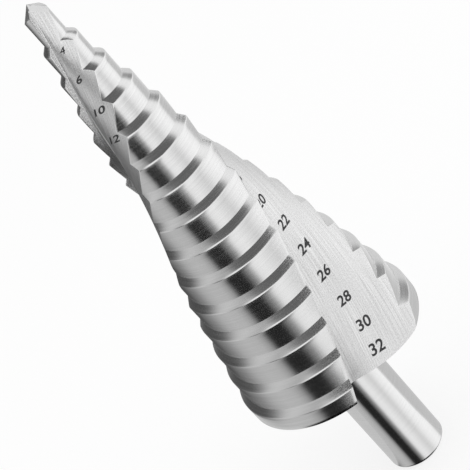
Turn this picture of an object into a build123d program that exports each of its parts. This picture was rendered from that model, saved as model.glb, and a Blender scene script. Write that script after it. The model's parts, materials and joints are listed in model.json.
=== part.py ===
from build123d import *
import math
import os

# A step drill: one piece of hardened steel, turned as a stack of cylinders that grow by an even
# step of diameter, cut by two right-hand flutes, ground to a point, on a plain round shank.
# It stands on its shank end: the origin is the centre of that end, and +Z runs to the point.
# Sizes are in millimetres and angles in degrees.

# ---- sizes that a buyer would read off the tool ----
FIRST_DIAMETER = 4.0
LAST_DIAMETER = 32.0
DIAMETER_STEP = 2.0
SHANK_DIAMETER = 10.0
STEPPED_LENGTH = 75.3
SHANK_LENGTH = 25.0

# ---- the stepped body ----
STEP_PITCH = 5.0            # from one shoulder to the next, along the axis
SHOULDER_DROP = 1.0         # axial length of each conical shoulder, a 45 degree lead
LAST_STEP_LENGTH = 2.9      # plain length of the largest step, above the rear face
SHANK_CHAMFER = 0.6

# ---- the two flutes ----
FLUTE_COUNT = 2
EDGE_START_ANGLE = -99.5    # place of the first cutting edge at the rear face
TWIST_RATE = 1.30           # degrees for each millimetre at the rear face
TWIST_GAIN = 1.59e-4        # and this much more, times the cube of the millimetres climbed
ENVELOPE_REAR = 16.7        # radius that the flute section is drawn for at the rear face
ENVELOPE_SLOPE = 0.195      # what that radius loses in each millimetre
ROOT_REAR = 10.63           # corner between rake face and floor to the axis, at the rear face
ROOT_SLOPE = 0.099          # what that distance loses in each millimetre
ROOT_EASE = 0.0004          # and what it loses more, times the square of the millimetres
ROOT_REACH = 0.26           # how far the floor runs square to the rake face first, in radii
FLOOR_TURN = 9.0            # how far the floor leans away from square at the rear face
FLOOR_TWIST = 0.31          # what that lean gains in each millimetre
FLOOR_REACH = 1.27          # the floor is drawn this many radii long, out past the steps
FLOOR_CROWN = 0.366         # how full the floor is at the rear face, in radii
CROWN_SLOPE = 0.0042        # what that fullness loses in each millimetre
CUTTER_REACH = 2.5          # the cutter stands out to this many radii
SECTION_SPACING = 4.0
CUTTER_MARGIN = 2.0         # past the rear face and past the point

# ---- the point ----
POINT_ANGLE = 118.0
FLANK_RELIEF = 22.0         # how fast the rim of each flank falls behind its lip
FLANK_FACETS = 3            # each flank is ground in this many flats
FACET_TURN = 45.0           # from one flat to the next, about the axis

step_count = round((LAST_DIAMETER - FIRST_DIAMETER) / DIAMETER_STEP) + 1
overall_length = SHANK_LENGTH + STEPPED_LENGTH
point_height = FIRST_DIAMETER / 2 / math.tan(math.radians(POINT_ANGLE / 2))
rear_face_z = SHANK_LENGTH


def stepped_profile():
    """Half section of the turned blank, from the shank end up to the point."""
    shank_radius = SHANK_DIAMETER / 2
    points = [
        (0, 0),
        (shank_radius - SHANK_CHAMFER, 0),
        (shank_radius, SHANK_CHAMFER),
        (shank_radius, rear_face_z),
        (LAST_DIAMETER / 2, rear_face_z),
    ]
    for shoulder in range(step_count - 1):
        wide = (LAST_DIAMETER - shoulder * DIAMETER_STEP) / 2
        z = rear_face_z + LAST_STEP_LENGTH + shoulder * STEP_PITCH
        points += [(wide, z), (wide - DIAMETER_STEP / 2, z + SHOULDER_DROP)]
    points += [(FIRST_DIAMETER / 2, overall_length - point_height), (0, overall_length)]
    return points


def turned_blank():
    outline = Polyline(*[(x, 0, z) for x, z in stepped_profile()], close=True)
    return revolve(make_face(outline), axis=Axis.Z)


def edge_angle(height):
    """Where the cutting edge has turned to, this far above the rear face."""
    return EDGE_START_ANGLE + TWIST_RATE * height + TWIST_GAIN * height**3


def flute_section(height):
    """Closed section of one flute: radial rake face, root corner, long full floor out to the heel."""
    radius = ENVELOPE_REAR - ENVELOPE_SLOPE * height
    lean = math.radians(FLOOR_TURN + FLOOR_TWIST * height)
    square = Vector(math.cos(lean), math.sin(lean))
    along = Vector(-math.sin(lean), math.cos(lean)) * FLOOR_REACH * radius
    crown = square * (FLOOR_CROWN - CROWN_SLOPE * height) * radius
    root = Vector(ROOT_REAR - ROOT_SLOPE * height - ROOT_EASE * height**2, 0)
    leaving = root + Vector(0, ROOT_REACH * radius)
    middle = root + along / 2 + crown
    heel = root + along - crown
    outer = Vector(CUTTER_REACH * radius, 0)
    rake = Line(outer, root)
    floor = Bezier(root, leaving, middle, heel)
    back = Line(heel, outer)
    place = Location((0, 0, rear_face_z + height), (0, 0, edge_angle(height)))
    return place * make_face(Wire([rake, floor, back]))


def flute_cutter():
    span = STEPPED_LENGTH + 2 * CUTTER_MARGIN
    sections = math.ceil(span / SECTION_SPACING)
    heights = [-CUTTER_MARGIN + span * i / sections for i in range(sections + 1)]
    return loft([flute_section(height) for height in heights])


def flank_cutter(facet):
    """Everything above one flat of a flank, a plane through the tip, steeper the further behind the lip."""
    behind = math.radians(facet * FACET_TURN)
    relief = math.tan(math.radians(FLANK_RELIEF))
    fall = 1 / math.tan(math.radians(POINT_ANGLE / 2)) + relief * behind
    flat = Plane(origin=(0, 0, 0), z_dir=Vector(fall, -relief, 1))
    size = 4 * FIRST_DIAMETER
    block = flat * Box(size, size, size, align=(Align.CENTER, Align.CENTER, Align.MIN))
    turn = edge_angle(STEPPED_LENGTH) - math.degrees(behind)
    return Location((0, 0, overall_length), (0, 0, turn)) * block


drill = turned_blank()
flute = flute_cutter()
for index in range(FLUTE_COUNT):
    turn = Rotation(0, 0, 360 * index / FLUTE_COUNT)
    drill = drill - turn * flute
    for facet in range(FLANK_FACETS):
        drill = drill - turn * flank_cutter(facet)

os.makedirs("parts", exist_ok=True)
export_step(drill, "parts/step_drill.step")
print(f"{step_count} steps, volume {drill.volume:.0f} mm3, valid {drill.is_valid}")
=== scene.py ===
# %% [markdown]
# # A step drill, dressed for the camera
#
# The drill is one piece of ground steel: fifteen cylinders stacked like a tower, two spiral
# flutes cut through them, a ground point and a round shank. It stands on its shank end, with
# the origin at the centre of that end and +Z up to the point.

# %% Load the frame
import json
import math

import bmesh
import bpy
import numpy as np
from mathutils import Matrix, Vector
from mathutils.bvhtree import BVHTree

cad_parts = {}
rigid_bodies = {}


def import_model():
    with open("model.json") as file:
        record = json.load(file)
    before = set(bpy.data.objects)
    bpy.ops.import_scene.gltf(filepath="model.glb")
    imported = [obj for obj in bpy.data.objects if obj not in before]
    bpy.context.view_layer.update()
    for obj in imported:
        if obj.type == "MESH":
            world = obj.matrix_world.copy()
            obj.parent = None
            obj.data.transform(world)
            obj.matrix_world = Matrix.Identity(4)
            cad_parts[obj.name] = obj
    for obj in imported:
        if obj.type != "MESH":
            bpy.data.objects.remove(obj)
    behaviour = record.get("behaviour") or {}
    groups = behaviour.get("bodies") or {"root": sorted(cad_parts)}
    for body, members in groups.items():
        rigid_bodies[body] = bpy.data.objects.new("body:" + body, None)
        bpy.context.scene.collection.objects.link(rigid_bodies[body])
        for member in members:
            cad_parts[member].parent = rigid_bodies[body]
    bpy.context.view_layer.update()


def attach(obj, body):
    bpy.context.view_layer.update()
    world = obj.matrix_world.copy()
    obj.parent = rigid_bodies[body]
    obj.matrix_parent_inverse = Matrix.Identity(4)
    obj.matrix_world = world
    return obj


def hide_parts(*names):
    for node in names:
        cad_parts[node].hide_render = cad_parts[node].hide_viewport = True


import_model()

# %% [markdown]
# ## Sizes
#
# These are the same named values that the CAD source uses, in millimetres and degrees. The
# scene can't read that file, so they are written again here. Heights are measured from the
# rear face of the largest step, so the shank lies below zero.

# %% Sizes
MM = 0.001
FIRST_RADIUS, LAST_RADIUS, RADIUS_STEP = 2.0, 16.0, 1.0
SHANK_RADIUS, SHANK_LENGTH, SHANK_CHAMFER = 5.0, 25.0, 0.6
STEPPED_LENGTH, STEP_PITCH, SHOULDER_DROP, LAST_STEP_LENGTH = 75.3, 5.0, 1.0, 2.9
EDGE_START_ANGLE, TWIST_RATE, TWIST_GAIN = -99.5, 1.30, 1.59e-4
ENVELOPE_REAR, ENVELOPE_SLOPE = 16.7, 0.195
ROOT_REAR, ROOT_SLOPE, ROOT_EASE, ROOT_REACH = 10.63, 0.099, 0.0004, 0.26
FLOOR_TURN, FLOOR_TWIST, FLOOR_REACH = 9.0, 0.31, 1.27
FLOOR_CROWN, CROWN_SLOPE = 0.366, 0.0042
POINT_ANGLE, FLANK_RELIEF, FLANK_FACETS, FACET_TURN = 118.0, 22.0, 3, 45.0
print("length in mm:", round(STEPPED_LENGTH + SHANK_LENGTH, 2), "widest radius:", LAST_RADIUS)

# %% [markdown]
# ## The blank's outline
#
# Going up the drill, each step is a cylinder and then a short cone. Where they meet, the real
# edge is never perfectly sharp: it is rounded over by a tenth of a millimetre or so, and that
# thin round is what catches the light as a bright line. A bevel could round it later, but on a
# twisted mesh it would also touch the flutes, so the round is drawn in the outline.
# `outline_rows` returns the height and radius of each row, with a few extra rows for each
# round. The rounds are quadratic curves from one side of the corner to the other.

# %% The outline
ROW_SPACING = 0.55          # height of the rows of faces on a cylinder
SHOULDER_ROUND = 0.16       # reach of the round at the front edge of a step
ROUND_ROWS = 4
RIM_MIDDLE = 0.05           # the round of the rear rim passes this far inside both its sides
POINT_BASE = 72.4           # above this height the columns run up to the ground point


def rounded(before, corner, after, reach, count):
    """Points of a small curve that replaces a corner."""
    before, corner, after = (np.array(p, float) for p in (before, corner, after))
    start = corner + (before - corner) * min(1, reach / np.linalg.norm(before - corner))
    end = corner + (after - corner) * min(1, reach / np.linalg.norm(after - corner))
    t = np.linspace(0, 1, count)[:, None]
    return (1 - t) ** 2 * start + 2 * t * (1 - t) * corner + t**2 * end


def outline_rows():
    """Height, radius and kind of each row of the stepped body, from the rear face up."""
    rows = [
        (0.0, LAST_RADIUS - SHOULDER_ROUND, "land"),
        (RIM_MIDDLE, LAST_RADIUS - RIM_MIDDLE, "land"),
    ]
    bottom, radius = SHOULDER_ROUND, LAST_RADIUS
    while radius > FIRST_RADIUS:
        top = LAST_STEP_LENGTH + (LAST_RADIUS - radius) / RADIUS_STEP * STEP_PITCH
        foot = (top + SHOULDER_DROP, radius - RADIUS_STEP)
        curve = rounded((bottom, radius), (top, radius), foot, SHOULDER_ROUND, ROUND_ROWS)
        count = max(2, round((curve[0][0] - bottom) / ROW_SPACING))
        wall = np.linspace(bottom, curve[0][0], count, endpoint=False)
        rows += [(a, radius, "land") for a in wall]
        rows += [(a, r, "shoulder" if i else "land") for i, (a, r) in enumerate(curve)]
        middle = (curve[-1] + np.array(foot)) / 2
        rows.append((middle[0], middle[1], "shoulder"))
        bottom, radius = foot
    count = round((POINT_BASE - bottom) / ROW_SPACING)
    rows += [(a, radius, "land") for a in np.linspace(bottom, POINT_BASE, count)]
    return rows


body_rows = outline_rows()
print("rows in the stepped body:", len(body_rows))

# %% [markdown]
# ## One section through the drill
#
# Cut across at any height, the drill is a disc with two notches opposite each other. A notch
# has a straight side that points at the axis, the rake face, whose outer end is the cutting
# edge. It has a rounded corner and then a long, slightly full floor that runs out at the
# heel. The whole section turns as it climbs, faster towards the point, and that draws the
# spiral. The notches could be cut with a boolean, but that leaves long thin faces that shade
# badly, so every section is drawn with the same number of points, ready to be joined.
#
# `section` returns the points of one half; the other half is the same, turned by 180 degrees.
# It also gives each point the distance along the section, for the brushed marks that run
# along the flute, and tells whether the face after it belongs to the flute.

# %% The section
RAKE_COLUMNS, ROOT_COLUMNS, FLOOR_COLUMNS, LAND_COLUMNS, CORNER_COLUMNS = 6, 6, 28, 56, 3
CORNER_ROUND = 0.07         # reach of the round at the cutting edge and at the heel
ROOT_ROUND = 0.045          # reach of the round at the root, as a share of the flute's size
BEHIND_EDGE = 0.1           # radians from the edge back along the land, where its round heads
HEEL_FROM, HEEL_TRIES = 0.25, 600       # where the search for the heel starts, and its steps


def edge_angle(height):
    """The angle of the first cutting edge, in radians."""
    return np.radians(EDGE_START_ANGLE + TWIST_RATE * height + TWIST_GAIN * height**3)


def floor_curve(height, t):
    """Points of the flute floor in the turned frame of the cutting edge."""
    reach = ENVELOPE_REAR - ENVELOPE_SLOPE * height
    lean = math.radians(FLOOR_TURN + FLOOR_TWIST * height)
    square = np.array([math.cos(lean), math.sin(lean)])
    along = np.array([-math.sin(lean), math.cos(lean)]) * FLOOR_REACH * reach
    crown = square * (FLOOR_CROWN - CROWN_SLOPE * height) * reach
    root = np.array([ROOT_REAR - ROOT_SLOPE * height - ROOT_EASE * height**2, 0.0])
    leaving = root + [0, ROOT_REACH * reach]
    middle = root + along / 2 + crown
    heel = root + along - crown
    t = np.asarray(t, float)[:, None]
    near_root = (1 - t) ** 3 * root + 3 * t * (1 - t) ** 2 * leaving
    return near_root + 3 * t**2 * (1 - t) * middle + t**3 * heel


def heel_share(height, radius):
    """Where along the floor curve it leaves a circle of this radius."""
    t = np.linspace(HEEL_FROM, 1, HEEL_TRIES)
    r = np.hypot(*floor_curve(height, t).T)
    out = np.nonzero(r >= radius)[0]
    i = max(1, out[0] if len(out) else len(t) - 1)
    share = (radius - r[i - 1]) / max(r[i] - r[i - 1], 1e-9)
    return t[i - 1] + (t[i] - t[i - 1]) * min(max(share, 0), 1)


def section(height, radius):
    """Half a section, from one cutting edge round to the next."""
    root = floor_curve(height, [0])[0]
    fillet = ROOT_ROUND * (ENVELOPE_REAR - ENVELOPE_SLOPE * height)
    floor_start = ROOT_ROUND / (3 * ROOT_REACH)
    floor = floor_curve(height, np.linspace(floor_start, heel_share(height, radius), FLOOR_COLUMNS))
    edge = np.array([radius, 0.0])
    rake = edge + (root + [fillet, 0] - edge) * np.linspace(0, 1, RAKE_COLUMNS)[:, None]
    root_round = rounded(edge, root, floor[0], fillet, ROOT_COLUMNS)
    heel_angle = math.atan2(floor[-1][1], floor[-1][0])
    turn = np.linspace(heel_angle, math.pi, LAND_COLUMNS)
    land = radius * np.stack([np.cos(turn), np.sin(turn)], 1)
    behind = radius * np.array([math.cos(BEHIND_EDGE), -math.sin(BEHIND_EDGE)])
    edge_round = rounded(behind, edge, rake[1], CORNER_ROUND, CORNER_COLUMNS)
    heel_round = rounded(floor[-2], floor[-1], land[1], CORNER_ROUND, CORNER_COLUMNS)
    points = np.concatenate([edge_round, rake[1:-1], root_round, floor[1:-1], heel_round, land[1:-1]])
    flute_start = CORNER_COLUMNS - 1
    flute_end = flute_start + RAKE_COLUMNS + ROOT_COLUMNS + FLOOR_COLUMNS - 3
    in_flute = [flute_start <= k < flute_end for k in range(len(points))]
    steps = np.linalg.norm(np.diff(points, axis=0, prepend=points[:1]), axis=1)
    distance = np.cumsum(steps)
    return points, distance - distance[RAKE_COLUMNS + 1], in_flute


def full_section(height, radius):
    """Both halves, turned to where the cutting edge is at this height."""
    half, distance, in_flute = section(height, radius)
    both = np.concatenate([half, -half])
    cos, sin = np.cos(edge_angle(height)), np.sin(edge_angle(height))
    points = np.stack([cos * both[:, 0] - sin * both[:, 1], sin * both[:, 0] + cos * both[:, 1]], 1)
    return points, np.tile(distance, 2), in_flute * 2


in_flute = full_section(*body_rows[0][:2])[2]
cutting_edges = [k for k in range(len(in_flute)) if in_flute[k] and not in_flute[k - 1]]
print("points in one section:", len(in_flute), "cutting edges at:", cutting_edges)

# %% [markdown]
# ## The point
#
# The point is ground, not turned. Behind each cutting lip the flank falls away in three flats,
# so that only the lip touches the work. `point_drop` says how far below the tip the ground
# surface lies at any place. Each column of the body climbs until it meets that surface, which
# gives a clean edge all round.

# %% The point
POINT_ROWS = 9
POINT_SECTIONS, HALVINGS = 160, 40      # of the table of sections, and of each search in it


def point_drop(x, y):
    """Depth of the ground point below the tip, at a place seen from above."""
    cone = 1 / math.tan(math.radians(POINT_ANGLE / 2))
    relief = math.tan(math.radians(FLANK_RELIEF))
    drop = cone * np.hypot(x, y)
    for facet in range(FLANK_FACETS):
        behind = math.radians(facet * FACET_TURN)
        turn = edge_angle(STEPPED_LENGTH) - behind
        along, across = x * np.cos(turn) + y * np.sin(turn), y * np.cos(turn) - x * np.sin(turn)
        drop = np.maximum(drop, np.abs((cone + relief * behind) * along - relief * across))
    return drop


def point_rows():
    """The rows between the body and the point, each column stopping on the ground surface."""
    heights = np.linspace(POINT_BASE, STEPPED_LENGTH, POINT_SECTIONS)
    table = np.stack([full_section(a, FIRST_RADIUS)[0] for a in heights])
    columns = np.arange(table.shape[1])
    low = np.full(len(columns), POINT_BASE)
    high = np.full(len(columns), STEPPED_LENGTH)

    def at(a):
        place = (a - heights[0]) / (heights[1] - heights[0])
        i = np.clip(place.astype(int), 0, len(heights) - 2)
        f = (place - i)[:, None]
        return table[i, columns] * (1 - f) + table[i + 1, columns] * f

    for _ in range(HALVINGS):
        middle = (low + high) / 2
        p = at(middle)
        above = middle > STEPPED_LENGTH - point_drop(p[:, 0], p[:, 1])
        high, low = np.where(above, middle, high), np.where(above, low, middle)
    rows = []
    for share in np.linspace(0, 1, POINT_ROWS)[1:]:
        a = POINT_BASE + (low - POINT_BASE) * share
        rows.append(np.column_stack([at(a), a]))
    return rows


print("lip height below the tip in mm:", round(float(point_drop(FIRST_RADIUS, 0.0)), 2))

# %% [markdown]
# ## The body
#
# The rows are joined into a grid of four-sided faces. No operator makes a section that changes
# from row to row, so the rows are set one above the other and joined column by column. A UV
# map keeps the distance across the flute and the height, in centimetres. A number on each
# vertex, "edge", tells how near it lies to a cutting edge: 1 there, falling to 0. Each face
# gets a material number from where it lies: turned land, ground shoulder or flute.

# %% The body
LAND, SHOULDER, FLUTE, POINT, SHANK = range(5)
EDGE_REACH = 2.6            # width of the worn band beside the edge of the largest step

bm = bmesh.new()
uv_layer = bm.loops.layers.uv.new("UVMap")
edge_layer = bm.verts.layers.float.new("edge")
uv_place = {}


def add_row(points, distance):
    """A row of vertices, each with its place in the UV map and its edge number."""
    row = [bm.verts.new(Vector((x, y, a + SHANK_LENGTH)) * MM) for x, y, a in points]
    reach = EDGE_REACH * np.hypot(*points[cutting_edges[0]][:2]) / LAST_RADIUS
    for v, d, p in zip(row, distance, points):
        uv_place[v] = (d, p[2])
        near = min(np.hypot(*(p - points[k])[:2]) for k in cutting_edges)
        v[edge_layer] = math.exp(-((near / reach) ** 2))
    return row


def join_rows(lower, upper, materials):
    """Four-sided faces between two rows, with the material number of each column."""
    for k, material in enumerate(materials):
        after = (k + 1) % len(lower)
        bm.faces.new((lower[k], lower[after], upper[after], upper[k])).material_index = material


rows, row_kinds = [], []
for a, radius, kind in body_rows:
    points, distance, _ = full_section(a, radius)
    rows.append(add_row(np.column_stack([points, np.full(len(points), a)]), distance))
    row_kinds.append(kind)
for points in point_rows():
    rows.append(add_row(points, distance))
    row_kinds.append("land")
for lower, upper, kind in zip(rows, rows[1:], row_kinds):
    turned_face = SHOULDER if kind == "shoulder" else LAND
    join_rows(lower, upper, [FLUTE if cut else turned_face for cut in in_flute])
print("faces in the body:", len(bm.faces))

# %% [markdown]
# ## The cap of the point
#
# The cone and the flats are all straight from the tip outwards, so the cap is a set of rings
# that shrink from the top row to the tip.

# %% The cap of the point
CAP_RINGS = 4

tip = bm.verts.new(Vector((0, 0, STEPPED_LENGTH + SHANK_LENGTH)) * MM)
rim = rows[-1]
for ring in range(1, CAP_RINGS):
    inner = []
    for v in rows[-1]:
        inner.append(bm.verts.new(v.co.lerp(tip.co, ring / CAP_RINGS)))
        uv_place[inner[-1]] = uv_place[v]
    join_rows(rim, inner, [POINT] * len(rim))
    rim = inner
uv_place[tip] = (0, STEPPED_LENGTH)
for k in range(len(rim)):
    bm.faces.new((rim[k], rim[(k + 1) % len(rim)], tip)).material_index = POINT
print("faces with the cap:", len(bm.faces))

# %% [markdown]
# ## The shank
#
# The shank is a plain turned rod with a small chamfer at its end, rounded a little where it
# meets the wall and the end face. One side of its outline is drawn and spun round the axis,
# as on a lathe. The last ring is then closed by one flat face.

# %% The shank
SHANK_SIDES = 120
SHANK_RINGS = (0.3, 12.0)   # extra rings on the wall, this far below the rear face
END_RINGS = (3.0, 1.5)      # extra rings on the end face, of these radii
CHAMFER_ROUNDS, CHAMFER_ROWS = (0.2, 0.12), 4   # reach of the round at the wall and at the end

end = (SHANK_RADIUS - SHANK_CHAMFER, -SHANK_LENGTH)
chamfer = (SHANK_RADIUS, SHANK_CHAMFER - SHANK_LENGTH)
profile = [(SHANK_RADIUS, -a) for a in (0.0, *SHANK_RINGS)]
profile += [tuple(p) for p in rounded(profile[-1], chamfer, end, CHAMFER_ROUNDS[0], CHAMFER_ROWS)]
profile += [tuple(p) for p in rounded(chamfer, end, (0, end[1]), CHAMFER_ROUNDS[1], CHAMFER_ROWS)]
profile += [(r, end[1]) for r in END_RINGS]

body_faces = set(bm.faces)
outline = [bm.verts.new(Vector((r, 0, a + SHANK_LENGTH)) * MM) for r, a in profile]
lines = [bm.edges.new(pair) for pair in zip(outline, outline[1:])]
bmesh.ops.spin(
    bm, geom=outline + lines, cent=(0, 0, 0), axis=(0, 0, 1), steps=SHANK_SIDES,
    angle=2 * math.pi, use_merge=True,
)
last_ring = [e for e in bm.edges if e.is_boundary and e.verts[0].co.z < SHANK_CHAMFER * MM]
bmesh.ops.contextual_create(bm, geom=last_ring)
for face in set(bm.faces) - body_faces:
    face.material_index = SHANK
for v in bm.verts:
    if v not in uv_place:
        x, y, z = v.co / MM
        uv_place[v] = (math.hypot(x, y) * (math.atan2(y, x) % (2 * math.pi)), z - SHANK_LENGTH)
print("faces with the shank:", len(bm.faces))

# %% [markdown]
# ## The rear face, and the finished mesh
#
# The flat rear face is a ring between the outline of the largest step and the shank. Its two
# edges are the only open ones left, so one fill closes it. Then the faces are made to point
# outwards, the UV map is written, and only edges that turn by a large angle stay sharp. A
# Weighted Normal modifier keeps the large faces flat and leaves the shading to the rounds.

# %% The finished mesh
SHARP_ANGLE = math.radians(33)
UV_UNIT = 10.0              # millimetres in one unit of the UV map
NORMAL_WEIGHT = 80

open_edges = [e for e in bm.edges if e.is_boundary]
filled = bmesh.ops.triangle_fill(bm, use_beauty=True, use_dissolve=False, edges=open_edges)
for item in filled["geom"]:
    if isinstance(item, bmesh.types.BMFace):
        item.material_index = SHANK
bmesh.ops.recalc_face_normals(bm, faces=bm.faces)
for face in bm.faces:
    face.smooth = True
    for loop in face.loops:
        d, a = uv_place[loop.vert]
        loop[uv_layer].uv = (d / UV_UNIT, a / UV_UNIT)
for e in bm.edges:
    e.smooth = e.calc_face_angle(0) < SHARP_ANGLE

mesh = bpy.data.meshes.new("step_drill_body")
bm.to_mesh(mesh)
bm.free()
drill = bpy.data.objects.new("step_drill_body", mesh)
bpy.context.collection.objects.link(drill)
weighted = drill.modifiers.new("weighted", "WEIGHTED_NORMAL")
weighted.keep_sharp = True
weighted.weight = NORMAL_WEIGHT
print("faces:", len(drill.data.polygons))

# %% [markdown]
# ## Helpers for shader nodes
#
# Materials and the world are trees of nodes. Three small helpers keep them short to read: one
# adds nodes under plain names, one sets the values of their sockets, and one links them.

# %% Helpers for shader nodes


def add_nodes(tree, **wanted):
    """New shader nodes of the wanted kinds, under plain names."""
    return {name: tree.nodes.new("ShaderNode" + kind) for name, kind in wanted.items()}


def socket(sockets, name):
    """A socket by its name, or by its number."""
    return sockets[int(name) if name.isdigit() else name]


def set_values(nodes, values):
    """Set input sockets, each named as 'node.socket'."""
    for place, value in values.items():
        node, name = place.split(".")
        socket(nodes[node].inputs, name).default_value = value


def wire(tree, nodes, *links):
    """Link sockets, each link written as 'node.output > node.input'."""
    for text in links:
        (source, output), (target, entry) = (end.split(".") for end in text.split(" > "))
        tree.links.new(socket(nodes[source].outputs, output), socket(nodes[target].inputs, entry))


print("helpers:", [f.__name__ for f in (add_nodes, set_values, wire)])

# %% [markdown]
# ## The marks of turning and grinding
#
# Every surface of the drill is bare steel, and what tells them apart is how each was made.
# The steps and the shank are turned and then ground while they spin, so their marks run round
# the axis and are very fine. The flutes are cut by a wheel that travels along them, so their
# marks run along the flute and are coarser. Both kinds come from noise that is stretched hard
# in one direction. Beside the cutting edges the marks are coarser, where the wheel and the
# first cuts have touched the steel; the "edge" number of the mesh says where that is. All the
# steels need this, so it is one node group with named inputs and outputs.

# %% The group of marks
STREAK_DETAIL, STREAK_ROUGHNESS = 3.0, 0.65
BLOTCH_SCALE, BLOTCH_DETAIL = 160.0, 2.0
GRAIN_DETAIL, GRAIN_MIDDLE = 1.0, 0.5
EDGE_GRAIN = 1.8            # extra grain beside a cutting edge
STREAK_LOW, STREAK_HIGH = 0.3, 0.7  # the noise that counts as none and as full


def marks_group():
    """A group that draws fine streaks and slow blotches, with coarser grain beside the edges."""
    group = bpy.data.node_groups.new("grinding_marks", "ShaderNodeTree")
    inputs = {"Vector": "Vector", "Stretch": "Vector", "Grain Scale": "Float", "Grain": "Float"}
    for name, kind in inputs.items():
        group.interface.new_socket(name, in_out="INPUT", socket_type="NodeSocket" + kind)
    for name in ("Streaks", "Blotches", "Wear"):
        group.interface.new_socket(name, in_out="OUTPUT", socket_type="NodeSocketFloat")
    nodes = add_nodes(
        group, fine="TexNoise", slow="TexNoise", speck="TexNoise", scale="VectorMath",
        centre="Math", add="Math", ramp="MapRange", edge="Attribute", more="Math", worn="Math",
    )
    nodes["given"], nodes["made"] = group.nodes.new("NodeGroupInput"), group.nodes.new("NodeGroupOutput")
    nodes["edge"].attribute_name = "edge"
    nodes["scale"].operation = "MULTIPLY"
    nodes["centre"].operation = "SUBTRACT"
    nodes["add"].operation = "MULTIPLY_ADD"
    nodes["more"].operation = "MULTIPLY_ADD"
    nodes["worn"].operation = "MULTIPLY"
    set_values(nodes, {
        "fine.Scale": 1.0, "fine.Detail": STREAK_DETAIL, "fine.Roughness": STREAK_ROUGHNESS,
        "slow.Scale": BLOTCH_SCALE, "slow.Detail": BLOTCH_DETAIL,
        "speck.Detail": GRAIN_DETAIL, "centre.1": GRAIN_MIDDLE, "more.1": EDGE_GRAIN,
        "ramp.From Min": STREAK_LOW, "ramp.From Max": STREAK_HIGH,
    })
    wire(
        group, nodes,
        "given.Vector > scale.0", "given.Stretch > scale.1", "scale.Vector > fine.Vector",
        "given.Vector > slow.Vector", "slow.Fac > made.Blotches",
        "given.Vector > speck.Vector", "given.Grain Scale > speck.Scale",
        "speck.Fac > centre.0", "centre.Value > add.0",
        "edge.Fac > more.0", "given.Grain > more.2", "more.Value > add.1",
        "fine.Fac > add.2", "add.Value > ramp.Value", "ramp.Result > made.Streaks",
        "edge.Fac > worn.0", "ramp.Result > worn.1", "worn.Value > made.Wear",
    )
    return group


MARKS = marks_group()
print("outputs of the group:", [s.name for s in MARKS.interface.items_tree if s.in_out == "OUTPUT"])

# %% [markdown]
# ## Five steels
#
# Each steel is a metallic Principled shader. The streaks mix its two tones, set its gloss
# together with the blotches, and give the bump. Its marks are stretched by three numbers, one
# for each direction of its coordinates: Object coordinates count in metres, and the UV map,
# which follows the twist of the flute, in centimetres. The steel is also duller in the worn
# band beside the cutting edges. The flutes keep their own gloss up to the edge.

# %% The steels
ROUND_AXIS = (60.0, 60.0, 5200.0)
ALONG_FLUTE = (120.0, 0.8, 1.0)
ON_THE_POINT = (900.0, 900.0, 300.0)
GRAIN_SCALE = {"Object": 6000.0, "UV": 60.0}
STREAK_SHARE = 0.7          # how much the streaks count in the gloss, beside the blotches
WEAR_GLOSS = 1.6            # how much duller the steel is beside a cutting edge
TURNED_DEPTH, FLUTE_DEPTH = 0.004, 0.012    # height of the marks in millimetres


def steel(name, stretch, grain, tones, gloss, bump, depth=TURNED_DEPTH, wear=WEAR_GLOSS, follow="Object"):
    """Bare steel with streaks: two tones, two roughnesses, and a bump of this share and depth."""
    material = bpy.data.materials.new(name)
    material.use_nodes = True
    tree = material.node_tree
    nodes = add_nodes(
        tree, place="TexCoord", marks="Group", colour="Mix", gloss="MapRange", mix="Math",
        worn="Math", bump="Bump",
    )
    nodes["shader"] = tree.nodes["Principled BSDF"]
    nodes["marks"].node_tree = MARKS
    nodes["colour"].data_type = "RGBA"
    nodes["mix"].operation = "MULTIPLY_ADD"
    nodes["worn"].operation = "MULTIPLY_ADD"
    nodes["gloss"].clamp = False
    set_values(nodes, {
        "shader.Metallic": 1.0,
        "marks.Stretch": stretch, "marks.Grain Scale": GRAIN_SCALE[follow], "marks.Grain": grain,
        "colour.A": (*[tones[0]] * 3, 1), "colour.B": (*[tones[1]] * 3, 1),
        "gloss.To Min": gloss[0], "gloss.To Max": gloss[1],
        "mix.1": STREAK_SHARE, "worn.1": wear,
        "bump.Strength": bump, "bump.Distance": depth * MM,
    })
    wire(
        tree, nodes,
        f"place.{follow} > marks.Vector",
        "marks.Streaks > colour.Factor", "colour.Result > shader.Base Color",
        "marks.Streaks > mix.0", "marks.Blotches > mix.2",
        "marks.Wear > worn.0", "mix.Value > worn.2",
        "worn.Value > gloss.Value", "gloss.Result > shader.Roughness",
        "marks.Streaks > bump.Height", "bump.Normal > shader.Normal",
    )
    return material


# In the order of the material numbers: land, shoulder, flute, point, shank.
steels = [
    steel("land_steel", ROUND_AXIS, grain=0.25, tones=(0.80, 0.90), gloss=(0.10, 0.17), bump=0.14),
    steel("shoulder_steel", ROUND_AXIS, grain=0.4, tones=(0.76, 0.84), gloss=(0.14, 0.24), bump=0.15),
    steel(
        "flute_steel", ALONG_FLUTE, grain=0.6, tones=(0.58, 1.0), gloss=(0.24, 0.32), bump=0.6,
        depth=FLUTE_DEPTH, wear=0.0, follow="UV",
    ),
    steel("point_steel", ON_THE_POINT, grain=0.3, tones=(0.74, 0.84), gloss=(0.2, 0.3), bump=0.2),
    steel("shank_steel", ROUND_AXIS, grain=0.2, tones=(0.82, 0.88), gloss=(0.09, 0.16), bump=0.08),
]
for material in steels:
    drill.data.materials.append(material)
print("materials on the drill:", [m.name for m in drill.data.materials])

# %% [markdown]
# ## The ink of the size marks
#
# A step drill carries the diameter of each step beside it, so that the user knows when to
# stop. They are plain numbers in dark ink. Ink on steel is never quite even, so a fine noise
# mixes two dark greys.

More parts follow.
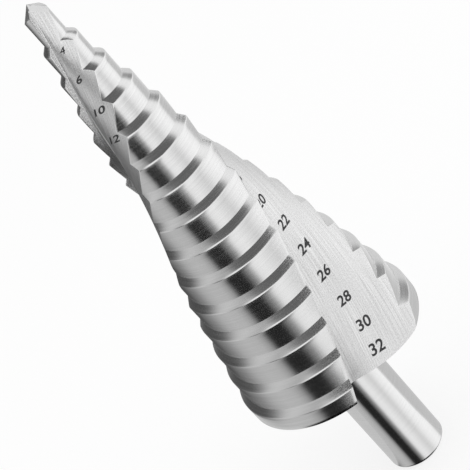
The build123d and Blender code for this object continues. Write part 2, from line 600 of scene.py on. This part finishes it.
# %% The ink
INK_GRAIN = 4000.0                  # spots of a quarter of a millimetre
INK_LOW, INK_HIGH = 0.35, 0.75      # the noise that counts as dark and as pale
INK_DARK, INK_PALE = (0.012, 0.012, 0.013, 1), (0.05, 0.05, 0.053, 1)
INK_ROUGHNESS = 0.55

ink = bpy.data.materials.new("mark_ink")
ink.use_nodes = True
ink_nodes = add_nodes(ink.node_tree, place="TexCoord", noise="TexNoise", shade="MapRange", colour="Mix")
ink_nodes["shader"] = ink.node_tree.nodes["Principled BSDF"]
ink_nodes["colour"].data_type = "RGBA"
set_values(ink_nodes, {
    "noise.Scale": INK_GRAIN, "shade.From Min": INK_LOW, "shade.From Max": INK_HIGH,
    "colour.A": INK_DARK, "colour.B": INK_PALE, "shader.Roughness": INK_ROUGHNESS,
})
wire(
    ink.node_tree, ink_nodes,
    "place.Object > noise.Vector", "noise.Fac > shade.Value", "shade.Result > colour.Factor",
    "colour.Result > shader.Base Color",
)
print("ink:", ink.name)

# %% [markdown]
# ## The size marks
#
# The marks stand on the flute floor, the large steps' in one flute and the small steps' in the
# other. Blender's own font draws the digits. They are cut into small triangles, and each point
# is dropped onto the drill's mesh, a hundredth of a millimetre proud, so the marks follow the
# hollow of the flute. A mark's reading line crosses the floor at its own tilt, and its digits
# lean along the flute, by one angle for each flute.

# %% Digits on the flute floor
INK_PROUD = 0.012
DIGIT_LEAN = {0: 74, 180: 63}               # degrees from the level line, for each flute
INK_SPREAD = {0: 0.053, 180: 0.040}         # how much the font's strokes are thickened
SMALLEST_SPREAD = 0.016                     # for the 4, whose counter would close
FONT_CAP_SHARE = 0.73                       # height of a digit in the font, against its size
FONT_CURVE_PARTS = 3
DOUBLES_REACH = 0.001
LONGEST_INK_EDGE, INK_CUTS = 0.35, 3        # longest edge of a triangle, and rounds of cutting
DROP_FROM = 2.0                             # the points are dropped from this far above


def flute_place(height, past_edge, surface):
    """The point of the flute at this height and angle past the cutting edge, and its normal."""
    turn = edge_angle(height) + math.radians(past_edge)
    outward = Vector((math.cos(turn), math.sin(turn), 0))
    start = Vector((0, 0, (height + SHANK_LENGTH) * MM)) + outward * LAST_RADIUS * 2 * MM
    point, normal, _, _ = surface.ray_cast(start, -outward)
    return point, normal


def flat_digits(text, size, spread):
    """Flat digits round the origin, as a mesh of small triangles."""
    curve = bpy.data.curves.new("mark_" + text, "FONT")
    curve.body, curve.align_x, curve.align_y = text, "CENTER", "CENTER"
    curve.size = size * MM / FONT_CAP_SHARE
    curve.offset = spread * MM
    curve.resolution_u = FONT_CURVE_PARTS
    label = bpy.data.objects.new("mark_" + text, curve)
    bpy.context.collection.objects.link(label)
    bpy.context.view_layer.update()
    drawn = bpy.data.meshes.new_from_object(label.evaluated_get(bpy.context.evaluated_depsgraph_get()))
    bpy.data.objects.remove(label)
    digits = bmesh.new()
    digits.from_mesh(drawn)
    bmesh.ops.remove_doubles(digits, verts=digits.verts, dist=DOUBLES_REACH * MM)
    bmesh.ops.triangulate(digits, faces=digits.faces)
    for _ in range(INK_CUTS):
        long_edges = [e for e in digits.edges if e.calc_length() > LONGEST_INK_EDGE * MM]
        bmesh.ops.subdivide_edges(digits, edges=long_edges, cuts=1)
        bmesh.ops.triangulate(digits, faces=digits.faces)
    return digits, drawn


def make_mark(text, height, past_edge, tilt, size, width, flute, surface):
    """One size mark, laid on the floor of a flute."""
    centre, normal = flute_place(height, flute + past_edge, surface)
    level = Vector((0, 0, 1)).cross(normal).normalized()
    rising = normal.cross(level)
    across, up = (
        level * math.cos(math.radians(turn)) + rising * math.sin(math.radians(turn))
        for turn in (tilt, DIGIT_LEAN[flute])
    )
    spread = SMALLEST_SPREAD if text == "4" else INK_SPREAD[flute]
    digits, mesh = flat_digits(text, size, spread)
    for v in digits.verts:
        flat = centre + across * v.co.x * width + up * v.co.y
        above = flat + normal * DROP_FROM * MM
        hit, hit_normal, _, _ = surface.ray_cast(above, -normal, DROP_FROM * 2 * MM)
        if hit is None:
            hit, hit_normal, _, _ = surface.find_nearest(flat)
        v.co = hit + hit_normal * INK_PROUD * MM
    bmesh.ops.recalc_face_normals(digits, faces=digits.faces)
    if sum((f.normal for f in digits.faces), Vector()).dot(normal) < 0:
        bmesh.ops.reverse_faces(digits, faces=digits.faces)
    digits.to_mesh(mesh)
    digits.free()
    mesh.validate()     # the thick strokes of a 4 give the same triangle twice
    mesh.materials.clear()
    mesh.materials.append(ink)
    mark = bpy.data.objects.new("mark_" + text, mesh)
    bpy.context.collection.objects.link(mark)
    return mark


print("marks stand proud of the floor by this many mm:", INK_PROUD)

# %% [markdown]
# ## Where the marks stand
#
# The marks of one flute don't sit in one straight line, because they follow its twist, and
# their digits shrink with the steps. So each mark has its own place and size. They are listed
# for each flute, which is named by its turn in degrees: text, height above the rear face,
# degrees past the cutting edge, tilt of the reading line, height of the digits, and their
# width against the font's own.

# %% The size marks
MARKS_BY_FLUTE = {
    0: [
        ("32", 2.4, 30.1, -6, 2.0, 0.94), ("30", 6.5, 31.0, -8, 1.85, 0.96),
        ("28", 11.2, 29.3, -7, 1.7, 0.97), ("26", 16.1, 27.9, -3, 1.72, 1.0),
        ("24", 20.9, 28.2, -5, 1.68, 1.02), ("22", 25.6, 27.8, -5, 1.65, 1.0),
        ("20", 30.3, 22.6, -5, 1.65, 1.0), ("18", 35.1, 17.2, -5, 1.65, 1.0),
    ],
    180: [
        ("12", 52.8, 47.6, 12, 1.4, 1.85), ("10", 57.5, 43.6, 9, 1.3, 1.75),
        ("6", 62.8, 35.8, 4, 1.25, 1.4), ("4", 67.5, 38.5, -6, 1.15, 1.05),
    ],
}

drill_shape = bmesh.new()
drill_shape.from_mesh(drill.data)
drill_surface = BVHTree.FromBMesh(drill_shape)
drill_shape.free()
marks = [
    make_mark(*mark, flute, drill_surface)
    for flute, flute_marks in MARKS_BY_FLUTE.items()
    for mark in flute_marks
]
print("size marks:", [m.name for m in marks])

# %% [markdown]
# ## Riding on the frame
#
# The fine mesh takes the place of the CAD solid, which stays in the physics model. The drill
# is one body, "root", so the mesh and its marks all ride on that.

# %% Join the frame
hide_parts("step_drill")
for piece in [drill, *marks]:
    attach(piece, "root")
print("pieces on the body:", 1 + len(marks))

# %% [markdown]
# ## The studio's cards
#
# Polished metal shows its surroundings more than its own colour, so the studio matters as
# much as the steel. What the steel mirrors here is a studio of large cards. Two rings of them
# stand all round, one above and one below a horizon line: white in front and to the right,
# grey at the left and behind. A narrow black card in the lower ring draws the dark stripe
# down the steps. Round cards add what the slopes show: a dark one overhead for the shoulders,
# a black one underneath, and grey ones at the sides.

# %% The cards
WHITE_GAIN = 1.15           # strength of all the cards, so that their colours stay below 1
STEEL_SHARE = 0.85          # how much of the light a steel of middle tone sends back

# Azimuth in degrees, and the display grey that each card gives when the steel mirrors it.
HIGH_CARDS = [
    (-180, 0.78), (-168, 0.74), (-152, 0.64), (-140, 0.78), (-125, 0.94), (-100, 0.92), (-60, 0.88),
    (-20, 0.93), (20, 0.94), (50, 0.83), (82, 0.80), (95, 0.46), (115, 0.44), (140, 0.52),
    (160, 0.70), (180, 0.78),
]
LOW_CARDS = [
    (-180, 0.70), (-162, 0.69), (-152, 0.60), (-143, 0.13), (-119, 0.13), (-106, 0.55), (-97, 0.88),
    (-84, 0.90), (-57, 0.80), (-37, 0.91), (-15, 0.95), (4, 0.93), (14, 0.74), (40, 0.75), (80, 0.86),
    (90, 0.30), (118, 0.30), (145, 0.50), (165, 0.66), (180, 0.70),
]
HORIZON, HORIZON_EDGE = -18.0, 2.5      # elevation of the line between the rings, and its blur
LOW_LEAN, LEAN_FROM = 0.6, -30.0        # degrees of azimuth for each one above this elevation
ROUND_CARDS = [
    dict(azimuth=-77, elevation=65, radius=34, edge=6, value=0.36),
    dict(azimuth=-148, elevation=-74, radius=33, edge=5, value=0.02),
    dict(azimuth=31, elevation=19, radius=13, edge=6, value=0.55),
    dict(azimuth=134, elevation=14, radius=24, edge=15, value=0.28),
    dict(azimuth=-88, elevation=30, radius=9, edge=3, value=0.12),
    dict(azimuth=-151, elevation=-7, radius=9, edge=4, value=0.30),
]


def card_colour(value):
    """The colour of a card that the steel shows as this display grey."""
    linear = ((value + 0.055) / 1.055) ** 2.4
    return (*[linear / STEEL_SHARE / WHITE_GAIN] * 3, 1)


def direction(azimuth, elevation):
    """The unit vector of a direction."""
    a, e = math.radians(azimuth), math.radians(elevation)
    return math.cos(e) * math.cos(a), math.cos(e) * math.sin(a), math.sin(e)


print("cards:", len(HIGH_CARDS), "high,", len(LOW_CARDS), "low,", len(ROUND_CARDS), "round")

# %% [markdown]
# ## The world
#
# The cards are drawn on the world, so they need no objects. The azimuth of a direction picks
# a stop of one colour ramp for the high ring and of another for the low one, and its height
# picks the ring. A round card is a mask on the angle from its middle. Only mirror rays see the
# cards. The camera sees plain white, and everything that scatters light gets an even pale one.

# %% The world
EVEN_LIGHT, CAMERA_WHITE = 0.86, 1.0

world = bpy.data.worlds.new("studio")
world.use_nodes = True
bpy.context.scene.world = world
tree = world.node_tree
tree.nodes.clear()
sky = add_nodes(
    tree, place="TexCoord", split="SeparateXYZ", angle="Math", turn="Math", lean="Math", leant="Math",
    high="ValToRGB", low="ValToRGB", level="MapRange", ring="Mix", path="LightPath",
    plain="Background", mirrored="Background", choose="MixShader", seen="Mix", out="OutputWorld",
)
sky["angle"].operation = "ARCTAN2"
sky["turn"].operation = "MULTIPLY_ADD"
sky["lean"].operation = "MULTIPLY_ADD"
sky["leant"].operation = "ADD"
sky["level"].interpolation_type = "SMOOTHSTEP"
sky["ring"].data_type = "RGBA"
sky["seen"].data_type = "RGBA"
# The low cards lean: their azimuth grows with elevation, here taken from the height z.
lean = LOW_LEAN / (2 * math.pi) / math.cos(math.radians(LEAN_FROM))
set_values(sky, {
    "turn.1": 1 / (2 * math.pi), "turn.2": 0.5,
    "lean.1": -lean, "lean.2": lean * math.sin(math.radians(LEAN_FROM)),
    "level.From Min": math.sin(math.radians(HORIZON - HORIZON_EDGE)),
    "level.From Max": math.sin(math.radians(HORIZON + HORIZON_EDGE)),
    "seen.A": (*[EVEN_LIGHT] * 3, 1), "seen.B": (*[CAMERA_WHITE] * 3, 1),
    "mirrored.Strength": WHITE_GAIN,
})
for name, cards in (("high", HIGH_CARDS), ("low", LOW_CARDS)):
    ramp = sky[name].color_ramp
    while len(ramp.elements) > 1:
        ramp.elements.remove(ramp.elements[-1])
    for k, (azimuth, value) in enumerate(cards):
        place = (azimuth + 180) / 360
        stop = ramp.elements.new(place) if k else ramp.elements[0]
        stop.position = place
        stop.color = card_colour(value)
wire(
    tree, sky,
    "place.Generated > split.Vector", "split.Y > angle.0", "split.X > angle.1",
    "angle.Value > turn.0", "split.Z > lean.0", "turn.Value > leant.0", "lean.Value > leant.1",
    "turn.Value > high.Fac", "leant.Value > low.Fac", "split.Z > level.Value",
    "level.Result > ring.Factor", "low.Color > ring.A", "high.Color > ring.B",
    "path.Is Camera Ray > seen.Factor", "seen.Result > plain.Color",
    "path.Is Glossy Ray > choose.Fac", "plain.Background > choose.1",
    "mirrored.Background > choose.2", "choose.Shader > out.Surface",
)
under = sky["ring"]
for card in ROUND_CARDS:
    disc = add_nodes(tree, dot="VectorMath", mask="MapRange", mix="Mix")
    disc["place"], disc["under"] = sky["place"], under
    disc["dot"].operation = "DOT_PRODUCT"
    disc["mask"].interpolation_type = "SMOOTHSTEP"
    disc["mix"].data_type = "RGBA"
    set_values(disc, {
        "dot.1": direction(card["azimuth"], card["elevation"]),
        "mask.From Min": math.cos(math.radians(card["radius"] + card["edge"])),
        "mask.From Max": math.cos(math.radians(card["radius"] - card["edge"])),
        "mix.B": card_colour(card["value"]),
    })
    wire(
        tree, disc,
        "place.Generated > dot.0", "dot.Value > mask.Value", "mask.Result > mix.Factor",
        "under.Result > mix.A",
    )
    under = disc["mix"]
tree.links.new(under.outputs["Result"], sky["mirrored"].inputs["Color"])
print("nodes in the world:", len(tree.nodes))

# %% [markdown]
# ## The floor
#
# The floor is a large sheet of plain white paper. To the camera three quarters of it is a
# plain white glow, so that it meets the white behind it without an edge; the last quarter is
# lit paper and holds a soft shadow. It lets mirror rays pass, so that the lower cards show,
# but for a grey card round the foot of the drill, on the far side. That card is a painted
# reflection: only mirror rays see it, and to the camera the floor there is white paper.

# %% The floor
FLOOR_HALF, FLOOR_PARTS = 4.0, 8        # half its width in metres, and its faces along a side
PAPER_WHITE, PAPER_GLOW = 0.97, 0.75
# A grey card round the foot that only mirror rays see: a painted reflection in the steel.
FOOT_CARD_RADIUS, FOOT_CARD_EDGE, FOOT_CARD_VALUE = 50.0, 4.0, 0.74   # size and blur in millimetres, and grey
FOOT_CARD_AZIMUTH, FOOT_CARD_HALF_ANGLE = 87, 103   # the card is a fan: its middle and half its width
FOOT_CARD_SIDE_EDGE = 0.08                    # blur of the fan's straight sides, as a cosine

sheet = bmesh.new()
bmesh.ops.create_grid(sheet, x_segments=FLOOR_PARTS, y_segments=FLOOR_PARTS, size=FLOOR_HALF)
floor_mesh = bpy.data.meshes.new("floor")
sheet.to_mesh(floor_mesh)
sheet.free()
floor = bpy.data.objects.new("floor", floor_mesh)
bpy.context.collection.objects.link(floor)

paper = bpy.data.materials.new("paper")
paper.use_nodes = True
tree = paper.node_tree
tree.nodes.clear()
paper_nodes = add_nodes(
    tree, path="LightPath", diffuse="BsdfDiffuse", white="Emission", bright="MixShader",
    clear="BsdfTransparent", place="TexCoord", away="VectorMath", reach="MapRange",
    heading="VectorMath", side="VectorMath", half="MapRange", both="Math", card="Emission",
    under="MixShader", mix="MixShader", seen="Math", out="OutputMaterial",
)
paper_nodes["seen"].operation = "MULTIPLY"
paper_nodes["away"].operation = "LENGTH"
paper_nodes["heading"].operation = "NORMALIZE"
paper_nodes["side"].operation = "DOT_PRODUCT"
paper_nodes["both"].operation = "MULTIPLY"
paper_nodes["reach"].interpolation_type = "SMOOTHSTEP"
paper_nodes["half"].interpolation_type = "SMOOTHSTEP"
foot_card_side = math.cos(math.radians(FOOT_CARD_HALF_ANGLE))
set_values(paper_nodes, {
    "diffuse.Color": (*[PAPER_WHITE] * 3, 1), "seen.1": PAPER_GLOW,
    "side.1": direction(FOOT_CARD_AZIMUTH, 0),
    "reach.From Min": (FOOT_CARD_RADIUS - FOOT_CARD_EDGE) * MM, "reach.From Max": (FOOT_CARD_RADIUS + FOOT_CARD_EDGE) * MM,
    "reach.To Min": 1.0, "reach.To Max": 0.0,
    "half.From Min": foot_card_side - FOOT_CARD_SIDE_EDGE, "half.From Max": foot_card_side + FOOT_CARD_SIDE_EDGE,
    "card.Color": card_colour(FOOT_CARD_VALUE), "card.Strength": WHITE_GAIN,
})
# Mirror rays that hit the floor near the foot see the grey card glow: a painted reflection.
wire(
    tree, paper_nodes,
    "path.Is Camera Ray > seen.0", "seen.Value > bright.Fac",
    "diffuse.BSDF > bright.1", "white.Emission > bright.2",
    "place.Object > away.0", "away.Value > reach.Value",
    "place.Object > heading.0", "heading.Vector > side.0", "side.Value > half.Value",
    "reach.Result > both.0", "half.Result > both.1", "both.Value > under.Fac",
    "clear.BSDF > under.1", "card.Emission > under.2",
    "path.Is Glossy Ray > mix.Fac", "bright.Shader > mix.1", "under.Shader > mix.2",
    "mix.Shader > out.Surface",
)
floor_mesh.materials.append(paper)
print("floor in metres:", 2 * FLOOR_HALF)

# %% [markdown]
# ## The lamp
#
# One wide soft lamp from the right and above gives the floor a faint shadow. Mirror rays
# don't see it, so it leaves no bright disc on the steel.

# %% The lamp
LAMP_WIDTH, LAMP_POWER = 0.5, 1.2   # in metres and watts
LAMP_PLACE, LAMP_AIM = Vector((0.35, -0.25, 0.75)), Vector((0, 0, 0.05))

lamp = bpy.data.lights.new("softbox", "AREA")
lamp.shape, lamp.size, lamp.energy = "DISK", LAMP_WIDTH, LAMP_POWER
softbox = bpy.data.objects.new("softbox", lamp)
softbox.location = LAMP_PLACE
softbox.rotation_euler = (LAMP_AIM - LAMP_PLACE).to_track_quat("-Z", "Y").to_euler()
softbox.visible_glossy = False
bpy.context.collection.objects.link(softbox)
print("lamp to drill in metres:", round((LAMP_AIM - LAMP_PLACE).length, 2))

# %% [markdown]
# ## Camera
#
# The camera stands in front, looks down by 28.6 degrees and is rolled by 41.65 degrees, so
# the upright drill runs from the lower right to the upper left of the picture. A long lens
# from a little under 30 cm away keeps the perspective gentle.

# %% Camera
LOOK_DOWN, ROLL = math.radians(28.61), math.radians(-41.65)
CAMERA_PLACE = (0.00038, -0.2427, 0.1841)
SENSOR, LENS = 36.0, 141.4      # in millimetres
NEAREST, FARTHEST = 0.01, 20.0  # in metres, like the camera's place

camera_data = bpy.data.cameras.new("camera")
camera_data.sensor_width, camera_data.lens = SENSOR, LENS
camera_data.clip_start, camera_data.clip_end = NEAREST, FARTHEST
camera = bpy.data.objects.new("camera", camera_data)
back = Vector((0, -math.cos(LOOK_DOWN), math.sin(LOOK_DOWN)))
level = Vector((1, 0, 0))
right = level * math.cos(ROLL) + back.cross(level) * math.sin(ROLL)
above = back.cross(right)
turn = Matrix((right, above, back)).transposed().to_4x4()
camera.matrix_world = Matrix.Translation(CAMERA_PLACE) @ turn
bpy.context.collection.objects.link(camera)
bpy.context.scene.camera = camera
bpy.context.scene.view_settings.view_transform = "Standard"
print("camera at:", CAMERA_PLACE)

# %% The last line
bpy.context.view_layer.update()
